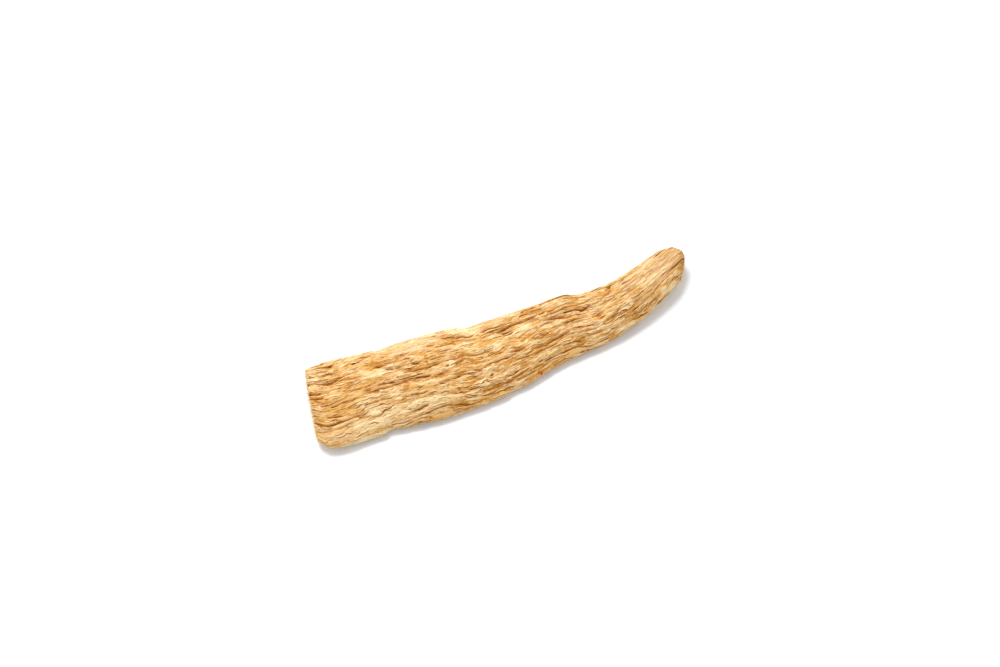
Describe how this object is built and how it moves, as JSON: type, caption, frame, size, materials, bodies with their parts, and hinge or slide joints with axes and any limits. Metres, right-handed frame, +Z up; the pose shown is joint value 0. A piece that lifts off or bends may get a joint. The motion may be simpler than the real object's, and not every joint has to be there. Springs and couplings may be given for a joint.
{
  "type": "astragalus root slice",
  "caption": "Dried astragalus root slice, cut lengthwise, wide and square at one end, curving to a narrow rounded end, with furrowed straw-brown bark on top and a flat cut face below.",
  "frame": {"origin": "middle of the slice's bounding box, on the surface it lies on", "axes": "+X along the slice from its square, knife-cut end to its narrow, rounded end; +Y towards its hollow long side, so its bulging side faces -Y; +Z up, out of its bark side"},
  "size_m": [0.075, 0.0192, 0.0049],
  "materials": {
    "dried_root": "matte"
  },
  "bodies": {
    "root": {"root_slice": "dried_root"}
  },
  "joints": []
}
